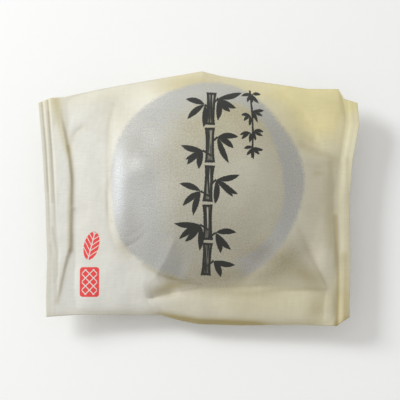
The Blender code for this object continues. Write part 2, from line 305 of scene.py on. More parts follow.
# %% Shape of the bulge
BULGE_REACH = 38.0
BULGE_SQUARENESS = 3.0
BULGE_SHOULDER = 2.2
SKIRT_REACH = 7.0
FIRM_FALL = 0.46
FIRM_STEEPNESS = 9
FOOT_TURNS = (-9.0, -4.5, 0.0, 4.5, 9.0)
BULGE_FOOT = (
    (-180, 28.2, 1.0), (-168, 28.8, 0.9), (-156, 31.0, 0.4), (-142, 34.0, 0.1), (-125, 35.8, 0.0),
    (-104, 34.6, 0.0), (-90, 33.8, 0.0), (-76, 34.8, 0.0), (-62, 38.0, 0.0), (-48, 40.5, 0.0),
    (-31, 38.5, 0.0), (-12, 37.5, 0.0), (28, 37.0, 0.0), (60, 37.0, 0.0), (90, 37.5, 0.0),
    (118, 38.5, 0.0), (130, 37.5, 0.0), (142, 35.0, 0.1), (156, 31.0, 0.4), (168, 28.6, 0.9),
    (180, 28.2, 1.0),
)


def bulge_rise(x, y):
    across, along = x - BUN_CENTRE[0], y - BUN_CENTRE[1]
    radius, bearing = np.hypot(across, along), np.degrees(np.arctan2(along, across))
    bearings, reaches, firmness = np.array(BULGE_FOOT).T
    turned = [bearing + turn for turn in FOOT_TURNS]
    full = np.mean([np.interp(way, bearings, reaches, period=360) for way in turned], axis=0)
    firm_share = np.mean([np.interp(way, bearings, firmness, period=360) for way in turned], axis=0)
    round_share, foot_share = radius / BULGE_REACH, radius / full
    share = round_share + (foot_share - round_share) * np.minimum(foot_share, 1.0)
    soft = np.clip(1.0 - share ** BULGE_SQUARENESS, 0.0, 1.0) ** BULGE_SHOULDER
    firm = (1.0 - FIRM_FALL * share ** 2) * np.clip(1.0 - share ** FIRM_STEEPNESS, 0.0, 1.0)
    outside = np.maximum(radius - full, 0.0)
    skirt = np.exp(-outside / SKIRT_REACH) * np.cos(np.radians(bearing)) ** 2
    return soft + (firm - soft) * firm_share, skirt, radius, full


print("foot of the bulge:", min(foot[1] for foot in BULGE_FOOT), "to", max(foot[1] for foot in BULGE_FOOT))

# %% [markdown]
# ## The tent at the lower right
# At the flap's right end the paper is pulled tight and stands up in a low tent. Its ridge starts at the
# corner, climbs towards the bun and then sinks into the bulge.

# %% Shape of the corner tent
CORNER = (38.6, -28.0)
CORNER_WAY = 149.0
CORNER_SPREAD = 33.0
CORNER_SLOPE = 0.40
CORNER_SHARPNESS = 1.3
CORNER_FULL, CORNER_END = 9.0, 27.0


def corner_tent(x, y):
    across, along = x - CORNER[0], y - CORNER[1]
    distance, bearing = np.hypot(across, along), np.degrees(np.arctan2(along, across))
    turn = np.abs((bearing - CORNER_WAY + 180.0) % 360.0 - 180.0) / CORNER_SPREAD
    side = np.clip(1.0 - turn ** 2, 0.0, 1.0) ** CORNER_SHARPNESS
    return CORNER_SLOPE * distance * eased(ramp(distance, CORNER_END, CORNER_FULL)) * side


print("tent:", CORNER_SLOPE * CORNER_FULL, "mm high where it begins to sink")

# %% [markdown]
# ## The height of the front and the back
# From the rim the front sheet rises a little, and over the bun it follows the bulge, which also pulls
# the ripples flat. The back sheet sags to the table under the bun, and a narrow lap runs along it. Both
# sheets follow the same crimps in the seals, where they are pressed together.

# %% Work out both sheets' heights
FRONT_SLACK = 2.6
BACK_SLACK = 2.4
SKIRT_HEIGHT = 1.4
NEAR_RISE = 2.4
FAR_RISE = 3.0
LEFT_RISE = 7.0
RIGHT_RISE = 4.0
FOLD_RISE = 1.5
SEAL_RISE = 0.8
PULLED_FLAT = 0.6
SEAL_RIM = 1.0
MAIN_SHARPNESS, FINE_SHARPNESS = 1.2, 1.0
BELLY_POWER = 0.9
BELLY_RISE = 2.0
LAP_SIDES = (-4.0, 6.5)
LAP_STEP = 0.35
LAP_SLOPE = 0.6
LAP_FADE = 2.0


def rise(distance, reach):
    return 1.0 - np.exp(-np.maximum(distance, 0.0) / reach)


def sheet_heights(u, v, x, y):
    from_near, from_far = y - side_point(NEAR_SIDE, u)[1], side_point(FAR_SIDE, u)[1] - y
    from_left, from_right = x - end_point(LEFT_END, v)[0], end_point(RIGHT_END, v)[0] - x
    from_end = np.minimum(from_left, from_right)
    edge = edge_height(u, v) + end_bend(from_right, y)
    puff = rise(from_near, NEAR_RISE) * rise(from_far, FAR_RISE)
    puff = puff * rise(from_left - LEFT_FOLD, LEFT_RISE) * rise(from_right - SEAL_WIDTH, RIGHT_RISE)
    fold = rise(from_near, FOLD_RISE) * rise(from_far, FOLD_RISE) * rise(from_end - SEAL_RIM, FOLD_RISE)
    beyond_seal = rise(from_end - SEAL_WIDTH, SEAL_RISE)

    bulge, skirt, radius, full = bulge_rise(x, y)
    front = edge + (FRONT_SLACK + SKIRT_HEIGHT * skirt) * puff
    front = front + (BUN_HEIGHT - front) * bulge * rise(from_far, FOLD_RISE) * beyond_seal
    front = front + corner_tent(x, y) * beyond_seal
    relief = crease_relief(x, y, CREASES, MAIN_SHARPNESS) + dent_relief(x, y)
    relief = relief + crease_relief(x, y, FINE_CREASES, FINE_SHARPNESS)
    wander = sum(height * ripples(x, y, *waves) for height, *waves in RIPPLES)
    front = front + (relief + wander * (1.0 - PULLED_FLAT * bulge)) * fold

    belly = ramp(radius, full, BASE_RADIUS)
    belly = belly * rise(from_far, FAR_RISE) * rise(from_end - SEAL_WIDTH, BELLY_RISE)
    back = (edge - BACK_SLACK * puff) * (1.0 - belly ** BELLY_POWER)
    lap = ramp(y, LAP_SIDES[0], LAP_SIDES[0] + LAP_SLOPE) * ramp(y, LAP_SIDES[1], LAP_SIDES[1] - LAP_SLOPE)
    lap = lap * ramp(back, 0.0, LAP_FADE) * rise(from_end - SEAL_WIDTH, FOLD_RISE)
    back = back - LAP_STEP * lap
    back = np.where(radius < BASE_RADIUS, 0.0, np.maximum(back, 0.0))

    middle = edge + crimps(from_left, from_right, y)
    front = np.where(from_end < SEAL_WIDTH, middle + PAPER / 2, np.maximum(front, edge + PAPER / 2))
    back = np.where(from_end < SEAL_WIDTH, middle - PAPER / 2, np.minimum(back, edge - PAPER / 2))
    return front, back


# %% [markdown]
# ## The paper pack as one closed skin
# We start from one flat grid, copy it for the back, and bridge the two rims, so the skin is closed all
# round. The grid's columns are closer in the crimped seals and beside the left ridge, where the paper
# has its finest shape, and its rows a little closer at both sides. The skin stays under the limit of
# 200,000 triangles for one piece.

# %% Make the grid and close it
# columns from left to right: how many, and how wide before all are fitted to the sheet
COLUMN_RUNS = ((20, 0.18), (24, 0.34), (156, 0.475), (18, 0.36), (20, 0.18))
ROW_COUNT = 187
ROW_CROWDING = 0.38

steps = np.concatenate([np.full(times, step) for times, step in COLUMN_RUNS])
columns = np.concatenate(([0.0], np.cumsum(steps)))
columns = columns / columns[-1]
even = np.linspace(0.0, 1.0, ROW_COUNT)
rows = (1.0 - ROW_CROWDING) * even + ROW_CROWDING * (1.0 - np.cos(math.pi * even)) / 2.0

bm = bmesh.new()
bmesh.ops.create_grid(bm, x_segments=len(columns) - 1, y_segments=len(rows) - 1, size=1.0)
front_count = len(bm.verts)
copied = bmesh.ops.duplicate(bm, geom=bm.verts[:] + bm.edges[:] + bm.faces[:])
back_faces = [e for e in copied["geom"] if isinstance(e, bmesh.types.BMFace)]
bmesh.ops.reverse_faces(bm, faces=back_faces)
bmesh.ops.bridge_loops(bm, edges=[e for e in bm.edges if e.is_boundary])
bmesh.ops.triangulate(bm, faces=[f for f in bm.faces if len(f.verts) > 4])
pack_mesh = bpy.data.meshes.new("paper_pack")
bm.to_mesh(pack_mesh)
bm.free()
print("skin:", len(pack_mesh.vertices), "points,", len(pack_mesh.polygons), "faces")

# %% [markdown]
# ## Move the grid to its place
# Every point knows its column and its row from the flat grid, and its sheet from the order it was made
# in. Its place comes from the functions above, for all points in one go.

# %% Shape the skin
count = len(pack_mesh.vertices)
flat = np.empty(count * 3)
pack_mesh.vertices.foreach_get("co", flat)
flat = flat.reshape(-1, 3)
column = np.rint((flat[:, 0] + 1.0) / 2.0 * (len(columns) - 1)).astype(int)
row = np.rint((flat[:, 1] + 1.0) / 2.0 * (len(rows) - 1)).astype(int)
u, v = columns[column], rows[row]
x, y = sheet_place(u, v)
front, back = sheet_heights(u, v, x, y)
on_front = np.arange(count) < front_count
z = np.where(on_front, front, back)
x = x - (x.min() + x.max()) / 2
y_middle = (y.min() + y.max()) / 2
y = y - y_middle
pack_mesh.vertices.foreach_set("co", (np.stack((x, y, z), axis=1) * MM).ravel())
pack_mesh.update()
bm = bmesh.new()
bm.from_mesh(pack_mesh)
bmesh.ops.recalc_face_normals(bm, faces=bm.faces[:])
bm.to_mesh(pack_mesh)
bm.free()
pack_mesh.shade_smooth()
pack = bpy.data.objects.new("paper_pack", pack_mesh)
bpy.context.scene.collection.objects.link(pack)
print("size in mm:", np.ptp(x), np.ptp(y), np.ptp(z))

# %% [markdown]
# ## Where the print lies
# The print was made on flat paper, and the pack was filled afterwards. So the print has its own flat plan,
# in millimetres, and every point of the skin knows its place on it. The plan is a UV map. Large soft
# shapes are kept as values at the skin's points, and small sharp ones are drawn in the material from the
# plan itself, so their edges stay crisp however close one looks, and no image is needed.

# %% The plan of the print
VIEW = math.radians(75.0)
VIEW_DROP = 1.14
TINT_MOST = 1.1

plan_x = x
plan_y = y * math.sin(VIEW) + z * math.cos(VIEW) - VIEW_DROP

uv_layer = pack_mesh.uv_layers.new(name="sheet")
loop_points = np.empty(len(pack_mesh.loops), dtype=np.int32)
pack_mesh.loops.foreach_get("vertex_index", loop_points)
uv_layer.data.foreach_set("uv", np.stack((plan_x, plan_y), axis=1)[loop_points].astype(np.float32).ravel())


def store(name, values):
    attribute = pack_mesh.attributes.new(name, "FLOAT", "POINT")
    attribute.data.foreach_set("value", np.asarray(values, dtype=np.float32))
    print(f"{name}: {values.min():.2f} to {values.max():.2f}")


def plan_oval(amount, centre, halves, turn=0.0):
    return amount * soft_oval(plan_x, plan_y, centre, halves, turn)


# %% [markdown]
# ## The silver ring
# A broad ring, brushed in silver grey, frames the bun. Such a ring is one sweep of a wide brush: it
# starts broad at the lower left, thins over the top and runs dry at the near side. Two ovals that
# aren't centred on each other give that change of width, and both waver a little, as a hand does. What
# is stored is the distance to the ring's edge, positive inside. On the left the inner edge counts less
# for each millimetre, which makes it softer.

# %% Ring brushed in silver
RING_OUTER = ((2.4, 5.4), (28.8, 29.8))
RING_INNER = ((7.1, 5.2), (18.1, 23.9))
INNER_SIZE = 20.0
# the inner oval's power and its edge, left and right of its centre
INNER_SQUARENESS = (3.0, 2.0)
INNER_EDGE = (0.17, 1.0)
# height, how many to a turn, and start of each edge's waver
OUTER_WAVER = (0.35, 5.0, 1.0)
INNER_WAVER = (0.50, 4.0, 0.0)
# angle, half width and height of two places where the outer edge draws in and swells
OUTER_SWELLS = ((0.66, 0.34, -0.7), (-2.5, 0.28, 1.5))
# the angles between which the ring has run dry
GAP = (math.radians(-104.0), math.radians(-69.0))
GAP_SLOPE = 0.3
OUTSIDE = -5.0

ring_x, ring_y = plan_x - RING_OUTER[0][0], plan_y - RING_OUTER[0][1]
ring_angle, ring_radius = np.arctan2(ring_y, ring_x), np.hypot(ring_x, ring_y)


def waver(height, times, start):
    return height * np.sin(ring_angle * times + start)


outer_share = np.hypot(ring_x / RING_OUTER[1][0], ring_y / RING_OUTER[1][1])
outer_depth = (1.0 - outer_share) * sum(RING_OUTER[1]) / 2 + waver(*OUTER_WAVER)
for angle, half_width, height in OUTER_SWELLS:
    outer_depth += height * hump(ring_angle, angle, half_width)
on_left = plan_x < RING_INNER[0][0]
inner_x, inner_y = (np.abs(p - c) / half for p, c, half in zip((plan_x, plan_y), *RING_INNER))
power = np.where(on_left, *INNER_SQUARENESS)
inner_share = (inner_x ** power + inner_y ** power) ** (1.0 / power)
inner_depth = ((inner_share - 1.0) * INNER_SIZE + waver(*INNER_WAVER)) * np.where(on_left, *INNER_EDGE)
gap_depth = ring_radius * np.maximum(GAP[0] - ring_angle, ring_angle - GAP[1]) * GAP_SLOPE
ring = np.minimum(np.minimum(outer_depth, inner_depth), gap_depth)
store("silver_ring", np.where(on_front, ring, OUTSIDE))

# %% [markdown]
# ## Painted highlights on the silver
# A painted highlight makes the silver palest where it faces the window: above all down the ring's left,
# less at its top, and faintly at its right and lower left. Bands are humps across the plan, and turns are
# humps along the ring.

# %% Painted highlights of the ring
SHINING_BANDS = (((-24.0, 2.3), (4.0, 12.0), 0.72), ((-20.0, 5.0), (-2.0, 17.0), 0.11))
SHINING_TURNS = ((1.60, 0.40, 0.22), (-0.55, 0.35, 0.10))
SHINING_SPOT = (0.12, (-9.5, -16.0), (4.0, 5.0))

shine = plan_oval(*SHINING_SPOT)
for across, along, amount in SHINING_BANDS:
    shine += amount * hump(plan_x, *across) * hump(plan_y, *along, power=4)
for angle, half_width, amount in SHINING_TURNS:
    shine += amount * hump(ring_angle, angle, half_width)
store("silver_painted_highlight", np.where(on_front, shine, 0.0))

# %% [markdown]
# ## Where the paper is pressed on the crust
# The paper is thin. Over the bun it is pressed against the brown crust, which shows through and greys it.
# Less of it is shown on two slopes of the bulge, a painted light, and more at the lower right, a painted
# shade on the slope turned from the window.

# %% Pressed paper
PRESSED_CENTRE = (2.4, 5.0)
# half width, and the half heights towards the near and the far side
PRESSED_HALVES = (29.0, 34.5, 30.0)
PRESSED_EDGE = (1.02, 0.82)
PRESSED_MOST = 0.82
# painted light on two slopes of the bulge, and painted shade at its lower right
RIGHT_PAINTED_LIGHT = (0.42, (19.0, 6.0), (12.0, 16.0))
LEFT_PAINTED_LIGHT = (0.45, (-18.0, 1.0), (8.0, 12.0))
LOWER_RIGHT_PAINTED_SHADE = (0.88, (23.8, -19.0), (9.5, 4.8), 38.0)

half_height = np.where(plan_y < PRESSED_CENTRE[1], *PRESSED_HALVES[1:])
pressed_x, pressed_y = plan_x - PRESSED_CENTRE[0], plan_y - PRESSED_CENTRE[1]
crust_light_and_shade = eased(ramp(np.hypot(pressed_x / PRESSED_HALVES[0], pressed_y / half_height), *PRESSED_EDGE))
crust_light_and_shade = crust_light_and_shade * (PRESSED_MOST - plan_oval(*RIGHT_PAINTED_LIGHT)) * (1.0 - plan_oval(*LEFT_PAINTED_LIGHT))
store("crust_light_and_shade", np.where(on_front, np.maximum(crust_light_and_shade, plan_oval(*LOWER_RIGHT_PAINTED_SHADE)), 0.0))

# %% [markdown]
# ## Where the paper is warm, and a painted light
# Where the paper stands free it stays pale at the left and turns warmer towards the right, along the far
# fold and above all in the far right corner. Part of it is the paper's own cream and part is painted warm
# shade, on the side turned from the cool window light; the far right corner also gets a painted light.

# %% Warm paper and painted light
# warmth at the start of a ramp, what the ramp adds, and where it starts and ends
RIGHT_DRIFT = (0.06, 0.36, -20.0, 40.0)
FAR_DRIFT = (0.22, 0.28, -16.0, -6.0)
FAR_FOLD, FAR_FOLD_FALL, FAR_FADE = 34.5, 0.13, 3.5
WARM_PLACES = (
    (0.62, (36.0, 25.0), (12.0, 10.0)),
    (0.20, (18.0, -30.0), (26.0, 6.0)),
    (0.22, (6.0, 23.0), (18.0, 8.0)),
)
RIGHT_SEAL_DRIFT = (0.0, 0.12, 40.0, 43.0)
LEFT_SEAL_DRIFT = (0.0, 0.15, -42.0, -45.0)
# where the right seal turns from warm to pale, over which length, and how far
SEAL_TURN, TURN_LENGTH, TURN_LEAST = 18.0, 8.0, -0.9
BACK_WARMTH = 0.25
LEFT_FOLD_TOP = ((-43.6, 31.0), (-42.3, 25.2), (-41.0, 20.7), (-39.4, 15.2))
LEFT_FOLD_TINT = (0.28, 1.6)
# a painted light in the far right corner, which faces away from the window
PAINTED_LIGHT_SPOT = (1.0, (39.5, 22.0), (5.5, 6.0))


def drift(start, gain, *reach):
    return start + gain * ramp(plan_x, *reach)


below_fold = np.maximum(FAR_FOLD - plan_y - FAR_FOLD_FALL * np.abs(plan_x), 0.0)
warm = drift(*RIGHT_DRIFT) + drift(*FAR_DRIFT) * np.exp(-below_fold / FAR_FADE)
warm += sum(plan_oval(*place) for place in WARM_PLACES)
warm += drift(*RIGHT_SEAL_DRIFT) * np.clip((SEAL_TURN - plan_y) / TURN_LENGTH, TURN_LEAST, 1.0)
warm += drift(*LEFT_SEAL_DRIFT)
warm += LEFT_FOLD_TINT[0] * hump(line_distance(plan_x, plan_y, LEFT_FOLD_TOP)[0], 0.0, LEFT_FOLD_TINT[1])
store("warmth", np.where(on_front, np.clip(warm, 0.0, TINT_MOST), BACK_WARMTH))
store("painted_light", np.where(on_front, plan_oval(*PAINTED_LIGHT_SPOT), 0.0))

# %% [markdown]
# ## Painted shade in folds and on slopes
# In folds, under steps and on slopes turned from the window a painted shade makes the paper darker and
# browner. Most of it is laid on as one would with an airbrush: strokes along the folds, each with a half
# width and a strength, and soft patches, with half sizes, a turn in degrees and a strength.

# %% Strokes and patches of painted shade
SHADE_STROKES = (
    # painted shadow of the left fold's step: faint at both ends, firm in the middle
    (((-43.4, 30.3), (-42.3, 25.2), (-41.2, 20.7), (-39.8, 16.2)), 1.2, 0.38),
    (((-39.6, 16.2), (-38.7, 11.7), (-38.2, 7.2), (-38.4, -1.8), (-38.4, -15.3)), 0.8, 0.72),
    (((-38.4, -15.3), (-39.6, -18.9), (-40.8, -24.3), (-42.0, -30.3)), 0.8, 0.40),
    # painted shade in the lines of the left seal
    (((-45.6, 26.7), (-44.7, 14.7), (-44.1, 2.7), (-43.9, -0.3)), 0.5, 0.28),
    (((-46.7, 22.0), (-45.9, 14.7), (-45.3, 2.7)), 0.4, 0.20),
    (((-43.8, -8.4), (-42.3, -15.3), (-42.1, -22.8)), 0.5, 0.24),
    (((-44.4, -13.2), (-43.2, -18.9), (-42.9, -24.3)), 0.5, 0.16),
    # painted shade at the bulge's foot at its left
    (((-25.5, 10.8), (-26.6, 5.7), (-27.5, 0.3), (-27.2, -3.6), (-26.1, -6.6)), 0.5, 0.24),
    # painted shade along the thin fold that runs from the bulge's lower left to the flap
    (((-16.5, -19.2), (-11.4, -22.2), (-7.8, -23.4), (-3.9, -24.3), (0.6, -25.2)), 0.6, 0.30),
    # painted shade beside the left fold, and three strokes of it in the right margin
    (((-38.9, 17.7), (-36.8, 20.1), (-34.4, 22.2)), 1.1, 0.22),
    (((30.6, 16.8), (36.6, 14.0), (41.0, 12.2)), 1.3, 0.26),
    (((35.2, 8.1), (41.0, 8.1)), 1.2, 0.26),
    (((39.6, 11.0), (39.6, -13.0)), 2.4, 0.30),
    # painted shade on the right seal's lower half, and on its bent outer edge
    (((43.3, -17.0), (43.3, -37.0)), 2.0, 0.48),
    (((44.9, 12.0), (44.6, -36.0)), 0.8, 0.24),
    (((43.4, 10.0), (43.4, -14.0)), 1.6, 0.12),
    # painted shade in the wedge of the pinch
    (((-13.2, -27.5), (-8.0, -25.9), (-3.2, -24.4)), 1.5, 0.32),
    # painted shade in the deep valley beside the right seal
    (((40.9, -5.0), (41.2, -12.0), (41.6, -24.0), (41.0, -37.5)), 1.0, 0.62),
)
SHADE_PATCHES = (
    # painted shade on the broad side of the pinch's wedge, the flap's upper rim and its middle
    ((-8.5, -25.0), (4.5, 2.2), 20.0, 0.40),
    ((-8.4, -22.8), (2.5, 1.2), 20.0, 0.18),
    ((12.5, -27.6), (13.5, 1.4), 0.0, 0.26),
    ((16.0, -30.5), (9.0, 5.0), 0.0, 0.06),
    # painted shade on the steep foot of the bulge above the flap, turned from the window, out to its lower
    # right corner
    ((15.0, -22.8), (15.0, 2.8), 0.0, 0.26),
    ((18.9, -16.0), (5.5, 2.6), 42.0, 0.62),
    ((32.6, -22.6), (5.0, 2.6), -35.0, 0.48),
    ((25.5, -18.2), (6.5, 4.4), -30.0, 0.40),
    # painted shade on the flap's right end
    ((34.8, -32.2), (2.8, 4.5), -25.0, 0.36),
    # painted shade in the dent at the bulge's lower left
    ((-20.4, -8.4), (4.6, 7.0), 10.0, 0.34),
    ((-21.9, -14.4), (2.8, 3.0), 0.0, 0.30),
    # painted shade at the peak of the far edge, and the painted shadow of the bun on the right margin
    ((-3.0, 35.2), (12.0, 3.6), 0.0, 0.40),
    ((35.0, -1.0), (5.0, 12.0), 0.0, 0.20),
    # painted shade that tones down the light on the far left slope of the bulge
    ((-24.5, 25.0), (6.5, 7.0), -40.0, 0.24),
    ((-14.0, 23.5), (5.0, 5.0), 0.0, 0.14),
    ((-22.6, 26.5), (4.5, 5.5), -40.0, 0.10),
    ((-18.2, 13.2), (5.5, 6.5), 0.0, 0.55),
    # painted shade that tones down the light on the broad left margin
    ((-32.0, -2.0), (5.0, 16.0), 0.0, 0.12),
)
print("folds:", len(SHADE_STROKES), "strokes and", len(SHADE_PATCHES), "patches")

# %% [markdown]
# ## Painted shade in the valleys, under the rim and on the flap
# The narrow painted shade is found by comparing the sheet with a smoothed copy of itself: where the copy
# lies above it, there is a valley. The near rim curls under and gets a painted shade, most of all below
# the bun, and so does the loose flap, which leans towards us, away from the window. A switch is 0 on one
# side of a line and 1 beyond it.

# %% Lay the shade on
VALLEY_ROUNDS = 6
VALLEY_DEPTHS = (0.015, 0.135)
VALLEY_SHADE = 0.20
CURL_SHADE, CURL_REACH = 0.22, 1.3
# what the middle of the rim adds, its place and its half length
CURL_MIDDLE = (1.05, 4.0, 14.0)
FLAP_SHADE, FLAP_RIGHT_FADE = 0.30, 0.4
# place and softness of the flap's upper edge, left end and paler right end
FLAP_TOP, FLAP_LEFT, FLAP_RIGHT = (-26.6, -1.3), (-12.0, 1.5), (24.0, 4.0)


def smoothed(values, rounds):
    for _ in range(rounds):
        edged = np.pad(values, 1, mode="edge")
        values = (edged[2:, 1:-1] + edged[:-2, 1:-1] + edged[1:-1, 2:] + edged[1:-1, :-2]) / 4.0
    return values


def switch(value, place, softness):
    return 1.0 / (1.0 + np.exp((place - value) / softness))


heights = np.zeros((len(rows), len(columns)))
heights[row[on_front], column[on_front]] = z[on_front]
valleys = ramp(smoothed(heights, VALLEY_ROUNDS) - heights, *VALLEY_DEPTHS)
valleys[-VALLEY_ROUNDS:] = 0.0
shade = VALLEY_SHADE * smoothed(valleys, 1)[row, column]
for line, half_width, amount in SHADE_STROKES:
    shade = np.maximum(shade, amount * hump(line_distance(plan_x, plan_y, line)[0], 0.0, half_width))
for centre, halves, turn, amount in SHADE_PATCHES:
    shade += plan_oval(amount, centre, halves, turn)

from_rim = y + y_middle - side_point(NEAR_SIDE, u)[1]
curl = CURL_SHADE + CURL_MIDDLE[0] * hump(plan_x, *CURL_MIDDLE[1:], power=4)
shade += curl * hump(from_rim, 0.0, CURL_REACH)
flap = switch(plan_y, *FLAP_TOP) * switch(plan_x, *FLAP_LEFT)
shade += FLAP_SHADE * flap * (1.0 - FLAP_RIGHT_FADE * switch(plan_x, *FLAP_RIGHT))
store("painted_shade", np.where(on_front, np.clip(shade, 0.0, TINT_MOST), 0.0))

# %% [markdown]
# ## Small helpers for node trees
# Building nodes by hand takes many lines. A few helpers make a node, feed a value or a link into a
# socket, and set up one step of arithmetic, noise or mixing. They keep the longer recipes readable.

# %% Helpers for nodes
EVEN = (1.0, 1.0, 1.0)


def add_node(tree, kind, **settings):
    node = tree.nodes.new(kind)
    node.location = (220 * (len(tree.nodes) % 14), -190 * (len(tree.nodes) // 14))
    for key, value in settings.items():
        setattr(node, key, value)
    return node


def feed(tree, socket, value):
    if isinstance(value, bpy.types.NodeSocket):
        tree.links.new(value, socket)
    else:
        socket.default_value = value


def feed_all(tree, node, *pairs):
    for name, value in pairs:
        feed(tree, node.inputs[name], value)


def calc(tree, operation, *values, clamp=False):
    node = add_node(tree, "ShaderNodeMath", operation=operation, use_clamp=clamp)
    feed_all(tree, node, *enumerate(values))
    return node.outputs[0]


def vector_calc(tree, operation, *values):
    node = add_node(tree, "ShaderNodeVectorMath", operation=operation)
    feed_all(tree, node, *enumerate(values))
    return node.outputs["Value" if operation in ("DISTANCE", "LENGTH", "DOT_PRODUCT") else "Vector"]


def split(tree, vector):
    parts = add_node(tree, "ShaderNodeSeparateXYZ")
    feed(tree, parts.inputs[0], vector)
    return parts.outputs["X"], parts.outputs["Y"]


def scaled_noise(tree, vector, scale, size, detail=2.0, roughness=0.6):
    """Noise whose grain is `size` across, after the plan is stretched by `scale`."""
    stretched = vector_calc(tree, "MULTIPLY", vector, scale)
    node = add_node(tree, "ShaderNodeTexNoise")
    feed_all(tree, node, ("Vector", stretched), ("Scale", 1.0 / size))
    feed_all(tree, node, ("Detail", detail), ("Roughness", roughness))
    return node.outputs["Fac"]


def blend_colour(tree, factor, first, second, mode="MIX"):
    node = add_node(tree, "ShaderNodeMix", data_type="RGBA", blend_type=mode)
    for socket, value in ((node.inputs[0], factor), (node.inputs[6], first), (node.inputs[7], second)):
        feed(tree, socket, (*value, 1.0) if isinstance(value, tuple) else value)
    return node.outputs[2]


def soft_step(tree, value, low, high):
    node = add_node(tree, "ShaderNodeMapRange", interpolation_type="SMOOTHSTEP")
    feed_all(tree, node, ("Value", value), ("From Min", low), ("From Max", high))
    return node.outputs["Result"]


def new_group(name, inputs, outputs):
    group = bpy.data.node_groups.new(name, "ShaderNodeTree")
    for way, sockets in (("INPUT", inputs), ("OUTPUT", outputs)):
        for label, kind in sockets:
            group.interface.new_socket(label, in_out=way, socket_type="NodeSocket" + kind)
    return group, add_node(group, "NodeGroupInput").outputs, add_node(group, "NodeGroupOutput").inputs


# %% [markdown]
# ## A node group for paper
# The printed front and the plain back are the same paper. Its cloudy tone, the fine cross threads of a
# soft mulberry paper and its grain are one node group with named sockets, built once and used twice.
# The painted shade multiplies the colour by a brown, and each texture, like the painted light, adds its
# share to one tone, so none of them takes over.

# %% Build the paper group
paper_group, given, result = new_group(
    "soft_paper",
    (("Plan", "Vector"), ("Pale", "Color"), ("Warm", "Color"), ("Warmth", "Float"), ("Painted Shade", "Float"),
     ("Painted Light", "Float")),
    (("Colour", "Color"), ("Relief", "Float"), ("Threads", "Float"), ("Roughness", "Float")),
)
SHADE_BROWN = (0.54, 0.46, 0.25)
PLAIN_TONE = 0.81
PAPER_ROUGHNESS, GRAIN_ROUGHNESS = 0.50, 0.14
clouds = scaled_noise(paper_group, given["Plan"], EVEN, 7.0, 4.0, 0.5)
threads = scaled_noise(paper_group, given["Plan"], (0.16, 1.0, 1.0), 0.62)
uprights = scaled_noise(paper_group, given["Plan"], (1.0, 0.12, 1.0), 0.85, 2.0, 0.5)
grain = scaled_noise(paper_group, given["Plan"], EVEN, 0.28)
base = blend_colour(paper_group, given["Warmth"], given["Pale"], given["Warm"])
shaded_colour = blend_colour(paper_group, given["Painted Shade"], base, SHADE_BROWN, "MULTIPLY")
tone = PLAIN_TONE
# the painted light lifts the tone, next to the textures
tone_shares = ((clouds, 0.16), (grain, 0.06), (threads, 0.10), (uprights, 0.05), (given["Painted Light"], 0.24))
for texture, amount in tone_shares:
    tone = calc(paper_group, "MULTIPLY_ADD", texture, amount, tone)
feed(paper_group, result["Colour"], vector_calc(paper_group, "SCALE", shaded_colour))
feed(paper_group, paper_group.nodes[-1].inputs["Scale"], tone)
relief = calc(paper_group, "MULTIPLY_ADD", grain, 0.5, threads)
feed(paper_group, result["Relief"], calc(paper_group, "MULTIPLY_ADD", uprights, 0.5, relief))
feed(paper_group, result["Threads"], threads)
roughness = calc(paper_group, "MULTIPLY_ADD", grain, GRAIN_ROUGHNESS, PAPER_ROUGHNESS)
feed(paper_group, result["Roughness"], roughness)
print("paper group sockets:", [item.name for item in paper_group.interface.items_tree])

# %% [markdown]
# ## Node groups for brush strokes
# A painter makes a bamboo leaf with one press and lift of a pointed brush, so both of its edges are
# arcs that meet at the foot and at the tip. The group gets the two circles those arcs belong to and gives
# back how deep inside the leaf a place lies. A joint of cane is one pull of a flat brush: a bar with a
# waist. Both groups are placed many times with their own numbers.

# %% Build the leaf stroke
leaf_group, given, result = new_group(
    "brush_leaf",
    (("Plan", "Vector"), ("Outer Centre", "Vector"), ("Outer Radius", "Float"),
     ("Inner Centre", "Vector"), ("Inner Radius", "Float"), ("Inner Side", "Float")),
    (("Depth", "Float"),),
)
outer, inner = (
    calc(leaf_group, "SUBTRACT", given[edge + " Radius"],
         vector_calc(leaf_group, "DISTANCE", given["Plan"], given[edge + " Centre"]))
    for edge in ("Outer", "Inner")
)
inner = calc(leaf_group, "MULTIPLY", inner, given["Inner Side"])
feed(leaf_group, result["Depth"], calc(leaf_group, "MINIMUM", outer, inner))


def place_leaf(tree, plan, foot, angle, length, belly, hollow, turned):
    """Works out both circles of a leaf from its foot, angle, length and how far each edge swells out."""
    middle = Vector(foot) + Vector((math.cos(angle), math.sin(angle))) * length / 2
    normal = Vector((-math.sin(angle), math.cos(angle))) * (1 if turned else -1)
    leaf = add_node(tree, "ShaderNodeGroup", node_tree=leaf_group)
    feed(tree, leaf.inputs["Plan"], plan)
    for label, swell, way in (("Outer", belly, 1.0), ("Inner", hollow, -1.0)):
        radius = (length ** 2 / 4 + swell ** 2) / (2 * abs(swell))
        centre = middle + normal * way * (swell - math.copysign(radius, swell))
        leaf.inputs[label + " Centre"].default_value = (centre.x, centre.y, 0.0)
        leaf.inputs[label + " Radius"].default_value = radius
    leaf.inputs["Inner Side"].default_value = math.copysign(1.0, hollow)
    return leaf.outputs["Depth"]


# %% Build the cane stroke
CANE_WAIST, CANE_FLARE = 0.80, 0.22

